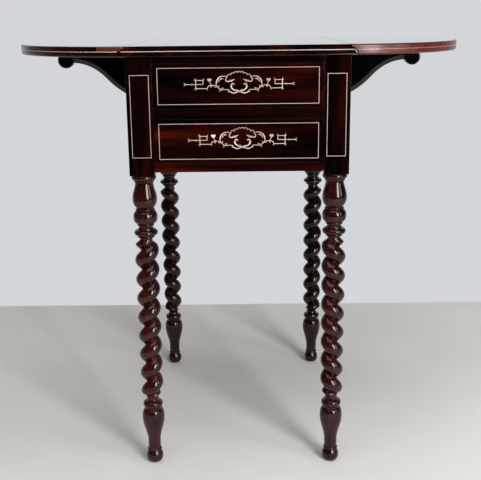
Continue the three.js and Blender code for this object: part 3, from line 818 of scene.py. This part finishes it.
def heart(drawer, label, side, face, centre, material):
    """A small flower of mother of pearl, shaped like a heart, on the stem of one scroll."""
    bm = bmesh.new()
    loops = []
    steps = 24
    for y in (face - PROUD, face + INLAY_DEPTH):
        loop = []
        for i in range(steps):
            t = 2 * math.pi * i / steps
            x = 16 * math.sin(t) ** 3 / 17
            z = (13 * math.cos(t) - 5 * math.cos(2 * t) - 2 * math.cos(3 * t) - math.cos(4 * t)) / 17
            x, z = (side * HEART_X + HEART_SIZE * x) * MM, (HEART_Z + HEART_SIZE * z) * MM
            loop.append(bm.verts.new(centre + Vector((x, y, z))))
        loops.append(loop)
    ring_faces(bm, loops)
    piece = finish_mesh(f"{drawer}_heart_{label}", bm, material)
    place(piece, "inlay", body=BODY_OF[drawer + "_front"])


HEART_X, HEART_Z, HEART_SIZE = 47.4, 5.0, 3.7  # in millimetres from the ornament's centre


def ornament(drawer, centre_x, rise, hearts):
    """The marquetry of one drawer front: two mirrored halves and their hearts."""
    low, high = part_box(drawer + "_front")
    face = low.y
    centre = Vector((centre_x, 0, (low.z + high.z) / 2 + rise))
    bm = bmesh.new()
    for mirror in (1, -1):
        for path, widths in [*BARS, *SCROLLS, *BASE]:
            ribbon(bm, path, [width * LINE_WEIGHT for width in widths], face, centre, mirror)
        ribbon(bm, scalloped_arch(), [ARCH_WIDTH] * 2, face, centre, mirror, steps=1)
    for (label, side), material in zip(SIDES.items(), hearts):
        heart(drawer, label, side, face, centre, material)
    piece = finish_mesh(drawer + "_marquetry", bm, marquetry)
    return place(piece, "inlay", body=BODY_OF[drawer + "_front"])


def drawer(name, ornament_x, ornament_rise, hearts):
    """A drawer's front with its inlays, and its box."""
    board(name + "_front", rosewood_x, "rosewood", FRONT_ARRIS)
    string_frame(name + "_string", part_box(name + "_front")[0].y)
    ornament(name, ornament_x, ornament_rise, hearts)
    for part in ("side_left", "side_right", "back", "bottom"):
        board(f"{name}_{part}", oak_x if part == "back" else oak_y, "lining", LINING_ARRIS)


drawer("upper_drawer", 1.4 * MM, 4.4 * MM, (dull_pearl, dull_pearl))
drawer("lower_drawer", 6 * MM, 3.6 * MM, (pearl, dull_pearl))
front_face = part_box("leg_front_left")[0].y
for label in SIDES:
    string_frame("leg_string_" + label, front_face)


# Case -----------------------------------------------------------------------------------

# The top rail takes the rosewood darkened as painted shade, for the shadow under the top's overhang
for node in ("top_rail", "divider_rail", "bottom_rail", "back_panel"):
    board(node, rosewood_painted_shade if node == "top_rail" else rosewood_x, "rosewood", RAIL_ARRIS)
for label in SIDES:
    board("side_apron_" + label, rosewood_side, "rosewood")
    board("side_panel_" + label, rosewood_side, "rosewood")
board("dust_board", oak_y, "lining", LINING_ARRIS)
board("sewing_partition_across", oak_x, "lining")
board("sewing_partition_long", oak_y, "lining")


# Brackets ---------------------------------------------------------------------------------

def bezier(p0, p1, p2, p3, steps):
    """Points along a cubic curve."""
    points = []
    for i in range(steps + 1):
        t = i / steps
        s = 1 - t
        points.append(tuple(
            s ** 3 * a + 3 * s * s * t * b + 3 * s * t * t * c + t ** 3 * d
            for a, b, c, d in zip(p0, p1, p2, p3)
        ))
    return points


# The arm's two cubic curves in millimetres from its lower root, up to its round end
OGEE = [(0, 0), (27, 2.3), (52.4, 19.8), (71.4, 40.3), (89.4, 59.3), (108.9, 67.8)]
NECK_ANGLE = 1.11 * math.pi
ARM_HALF = 10 * MM  # half of the arm's thickness, and its knuckles' radius
ARM_ROOT = 10.6 * MM  # from the pin's axis
ARM_CHAMFER = 8.4 * MM
ARM_EDGE = 0.32  # what the chamfers leave of the thickness
END_RADIUS = 14.9 * MM
KNUCKLE_GAP = 0.15 * MM


def bracket(label, side):
    """The swinging arm: an ogee underneath with a broad chamfer, and a round end."""
    low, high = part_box("bracket_" + label)
    pin_low, pin_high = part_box("bracket_pin_" + label)
    pin_x = abs(pin_low.x + pin_high.x) / 2
    top, bottom = high.z, low.z
    tip = max(abs(low.x), abs(high.x))
    end = (tip - END_RADIUS, top - END_RADIUS)
    root = pin_x + ARM_ROOT
    points = [(root + x * MM, bottom + z * MM) for x, z in OGEE]
    neck = (END_RADIUS * math.cos(NECK_ANGLE), END_RADIUS * math.sin(NECK_ANGLE))
    meeting = (end[0] + neck[0], end[1] + neck[1])
    contour = bezier(*points[:4], 16) + bezier(*points[3:], meeting, 18)[1:]
    half = ARM_HALF
    rings = []
    bm = bmesh.new()
    for i, (x, z) in enumerate(contour):
        before, after = contour[max(0, i - 1)], contour[min(len(contour) - 1, i + 1)]
        along = Vector((after[0] - before[0], after[1] - before[1])).normalized()
        inner = (x - along.y * ARM_CHAMFER, z + along.x * ARM_CHAMFER)
        inner = (max(inner[0], root), inner[1]) if i else (root, z + ARM_CHAMFER)
        section = [
            (x, -ARM_EDGE * half, z), (inner[0], -half, inner[1]), (inner[0], -half, top),
            (inner[0], half, top), (inner[0], half, inner[1]), (x, ARM_EDGE * half, z),
        ]
        rings.append([bm.verts.new((side * px, py, pz)) for px, py, pz in section])
    ring_faces(bm, rings)
    turn = Matrix.Rotation(math.pi / 2, 3, "X")
    rim = 2 * MM
    disc = [(-half, END_RADIUS - rim), *[
        (-half + rim * (1 - math.cos(a)), END_RADIUS - rim + rim * math.sin(a))
        for a in (math.pi / 8, math.pi / 4, 3 * math.pi / 8, math.pi / 2)
    ]]
    disc += [(-h, r) for h, r in reversed(disc)]
    lathe(bm, disc, Vector((side * end[0], 0, end[1])), turn, sides=56)
    bridge_length, bridge_height = 16 * MM, 9 * MM
    near, far = sorted((side * (end[0] - bridge_length), side * end[0]))
    add_box(bm, (near, -half, top - bridge_height), (far, half, top))
    knuckles(bm, side, pin_x, bottom, top, root)
    # The arm takes the rosewood darkened as painted shade
    piece = finish_mesh(f"bracket_arm_{label}", bm, rosewood_painted_shade, 28)
    return place(piece, "rosewood", "bracket_" + label)


def knuckles(bm, side, pin_x, bottom, top, root):
    """The arm's three wooden knuckles round the pin, with their necks."""
    height = (top - bottom) / 5
    radius = ARM_HALF
    arris = 0.5 * MM
    overlap = 1 * MM  # of the neck and the arm
    corner = (pin_x + radius - 0.2 * MM, radius - 0.3 * MM)  # just inside the arm
    for level in (0, 2, 4):
        z0 = bottom + level * height + (KNUCKLE_GAP if level else 0)
        z1 = bottom + (level + 1) * height - (KNUCKLE_GAP if level < 4 else 0)
        tall = z1 - z0
        barrel = [(0, radius - arris), (arris, radius), (tall - arris, radius), (tall, radius - arris)]
        lathe(bm, barrel, Vector((side * pin_x, 0, z0)), sides=40)
        neck = [(pin_x, 0), (pin_x, -radius), (root + overlap, -radius), (root + overlap, radius), corner]
        rings = [[bm.verts.new((side * x, y, z)) for x, y in neck] for z in (z0, z1)]
        ring_faces(bm, rings)


for label, side in SIDES.items():
    bracket(label, side)


# CAD nodes that stay, with better finishes ---------------------------------------------------

def dress(node, material):
    """A CAD node whose shape is right: only its finish changes."""
    piece = frame["nodes"][node]
    piece.data.materials.clear()
    piece.data.materials.append(material)
    piece.data.shade_smooth()
    piece.data.set_sharp_from_angle(angle=math.radians(35))


for label in SIDES:
    dress("fly_rail_" + label, rosewood_side)
    dress("bracket_pin_" + label, iron)
    for runner in ("upper_runner_", "lower_runner_"):
        dress(runner + label, oak_y)
    for end in ("front", "back"):
        dress(f"hinge_{end}_top_flap_{label}", brass)
        dress(f"hinge_{end}_leaf_flap_{label}", brass)
        dress(f"hinge_{end}_pin_{label}", iron)


SCREWS_FROM_JOINT = {"top": (-13, -19, -23), "leaf": (10, 24, 38)}  # millimetres, outwards


def hinge_screws(label, side):
    """Countersunk slotted screw heads in the flaps under the top, three to a flap."""
    stagger = 8 * MM
    bm = bmesh.new()
    for end in ("front", "back"):
        for flap, distances in SCREWS_FROM_JOINT.items():
            low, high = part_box(f"hinge_{end}_{flap}_flap_{label}")
            middle_y = (low.y + high.y) / 2
            for i, distance in enumerate(distances):
                x = side * (JOINT_LINE + distance * MM)
                y = middle_y + (stagger if i % 2 else -stagger)
                screw_head(bm, Vector((x, y, TOP_UNDERSIDE)), 0.4 + 1.1 * i)
    return place(finish_mesh(f"hinge_screws_{label}", bm, iron), "iron", body="case")


def screw_head(bm, centre, angle):
    """Two half discs with the slot between them, facing down."""
    radius = 2.4 * MM
    slot_half = 0.3 * MM
    steps = 12
    sweep = math.asin(slot_half / radius)
    for turn in (angle, angle + math.pi):
        rings = []
        for z, r in ((0.3 * MM, radius), (-0.25 * MM, radius), (-0.4 * MM, radius * 0.85)):
            edge = []
            for i in range(steps + 1):
                a = sweep + (math.pi - 2 * sweep) * i / steps
                point = Vector((r * math.cos(a), max(r * math.sin(a), slot_half), z))
                edge.append(bm.verts.new(centre + Matrix.Rotation(turn, 3, "Z") @ point))
            rings.append(edge)
        ring_faces(bm, rings)


for label, side in SIDES.items():
    hinge_screws(label, side)


# Camera, floor and light -----------------------------------------------------------------------

def aim_camera():
    """A camera a little above the top, in front of the drawers."""
    position = (0.0106, -1.6187, 0.7815)
    yaw, pitch, roll = 0.0071, 0.2579, 0.0115
    right = Vector((math.cos(yaw), math.sin(yaw), 0))
    level_ahead = Vector((-math.sin(yaw), math.cos(yaw), 0))
    ahead = math.cos(pitch) * level_ahead - math.sin(pitch) * Vector((0, 0, 1))
    up = right.cross(ahead)
    tilted_right = math.cos(roll) * right - math.sin(roll) * up
    tilted_up = math.sin(roll) * right + math.cos(roll) * up
    turn = Matrix((tilted_right, tilted_up, -ahead)).transposed()
    data = bpy.data.cameras.new("camera")
    data.sensor_width = 36
    data.lens = 63.04
    camera = bpy.data.objects.new("camera", data)
    camera.matrix_world = Matrix.Translation(position) @ turn.to_4x4()
    bpy.context.scene.collection.objects.link(camera)
    bpy.context.scene.camera = camera


def floor():
    """A pale floor as far as the foot of the wall, and a plain bright backdrop beyond it."""
    material, tree, shader = new_material("floor")
    where = add_node(tree, "ShaderNodeTexCoord").outputs["Object"]
    mottle = noise(tree, where, 3.0, 4.0, 0.5)
    tree.links.new(
        ramp(tree, mottle, [(0.3, (0.70, 0.695, 0.665)), (0.7, (0.76, 0.755, 0.725))]),
        shader.inputs["Base Color"],
    )
    shader.inputs["Roughness"].default_value = 0.7
    shader.inputs["Specular IOR Level"].default_value = 0.15
    stage_plane("floor", (-FLOOR_REACH, FLOOR_FRONT), (FLOOR_REACH, WALL_LINE), material)
    glow, tree, shader = new_material("backdrop")
    shader.inputs["Base Color"].default_value = (0, 0, 0, 1)
    shader.inputs["Specular IOR Level"].default_value = 0
    shader.inputs["Emission Color"].default_value = (*WALL_COLOUR, 1)
    shader.inputs["Emission Strength"].default_value = 1
    stage_plane("backdrop", (-FLOOR_REACH, WALL_LINE), (FLOOR_REACH, BACKDROP_REACH), glow)


def stage_plane(name, low, high, material):
    """A level rectangle at the height of the feet, outside the object."""
    (x0, y0), (x1, y1) = low, high
    mesh = bpy.data.meshes.new(name)
    mesh.from_pydata([(x0, y0, 0), (x1, y0, 0), (x1, y1, 0), (x0, y1, 0)], [], [(0, 1, 2, 3)])
    mesh.materials.append(material)
    piece = bpy.data.objects.new(name, mesh)
    bpy.context.scene.collection.objects.link(piece)


def area_light(name, position, target, size, power, colour=(1, 1, 1)):
    """A soft rectangular light. size is its width and height in metres, power is in watts."""
    data = bpy.data.lights.new(name, "AREA")
    data.shape = "RECTANGLE"
    data.size, data.size_y = size
    data.energy = power
    data.color = colour
    light = bpy.data.objects.new(name, data)
    light.location = position
    light.rotation_euler = (Vector(target) - Vector(position)).to_track_quat("-Z", "Y").to_euler()
    bpy.context.scene.collection.objects.link(light)


def sky():
    """Soft light from the wall behind the table and little from the room before it; what the
    camera sees of it is the plain wall on every side."""
    world = bpy.data.worlds.new("room")
    world.use_nodes = True
    tree = world.node_tree
    background = tree.nodes["Background"]
    where = add_node(tree, "ShaderNodeTexCoord").outputs["Generated"]
    depth = add_node(tree, "ShaderNodeSeparateXYZ", Vector=where).outputs["Y"]
    lifted = maths(tree, "MULTIPLY_ADD", depth, 0.5)
    lifted.node.inputs[2].default_value = 0.5
    light = ramp(tree, lifted, ROOM_LIGHT)
    seen = add_node(tree, "ShaderNodeLightPath").outputs["Is Camera Ray"]
    tree.links.new(mixed(tree, seen, light, (*WALL_COLOUR, 1)), background.inputs["Color"])
    background.inputs["Strength"].default_value = 1.0
    bpy.context.scene.world = world


WALL_LINE = 0.635
FLOOR_FRONT = -1.9
FLOOR_REACH = 12
BACKDROP_REACH = 40
WALL_COLOUR = (0.655, 0.670, 0.690)
ROOM_LIGHT = [  # from in front of the table (0) to behind it (1)
    (0.10, (0.015, 0.015, 0.015)), (0.55, (0.06, 0.06, 0.062)), (0.80, (0.22, 0.22, 0.225)),
    (0.90, WALL_COLOUR),
]
LIT_POINT = (0.1, 0, 0.45)
aim_camera()
floor()
area_light("window", (1.45, -2.4, 1.2), LIT_POINT, (0.6, 1.8), 64, (1, 0.99, 0.98))
area_light("door", (1.25, -3.0, 1.5), LIT_POINT, (0.18, 1.8), 26, (1, 0.97, 0.93))
area_light("far_window", (2.5, -1.6, 1.3), LIT_POINT, (0.8, 1.5), 18, (0.97, 0.98, 1))
area_light("ceiling", (0, -0.8, 2.7), (0, -0.8, 0), (2.6, 2.6), 46)
sky()
bpy.context.scene.view_settings.view_transform = "Standard"
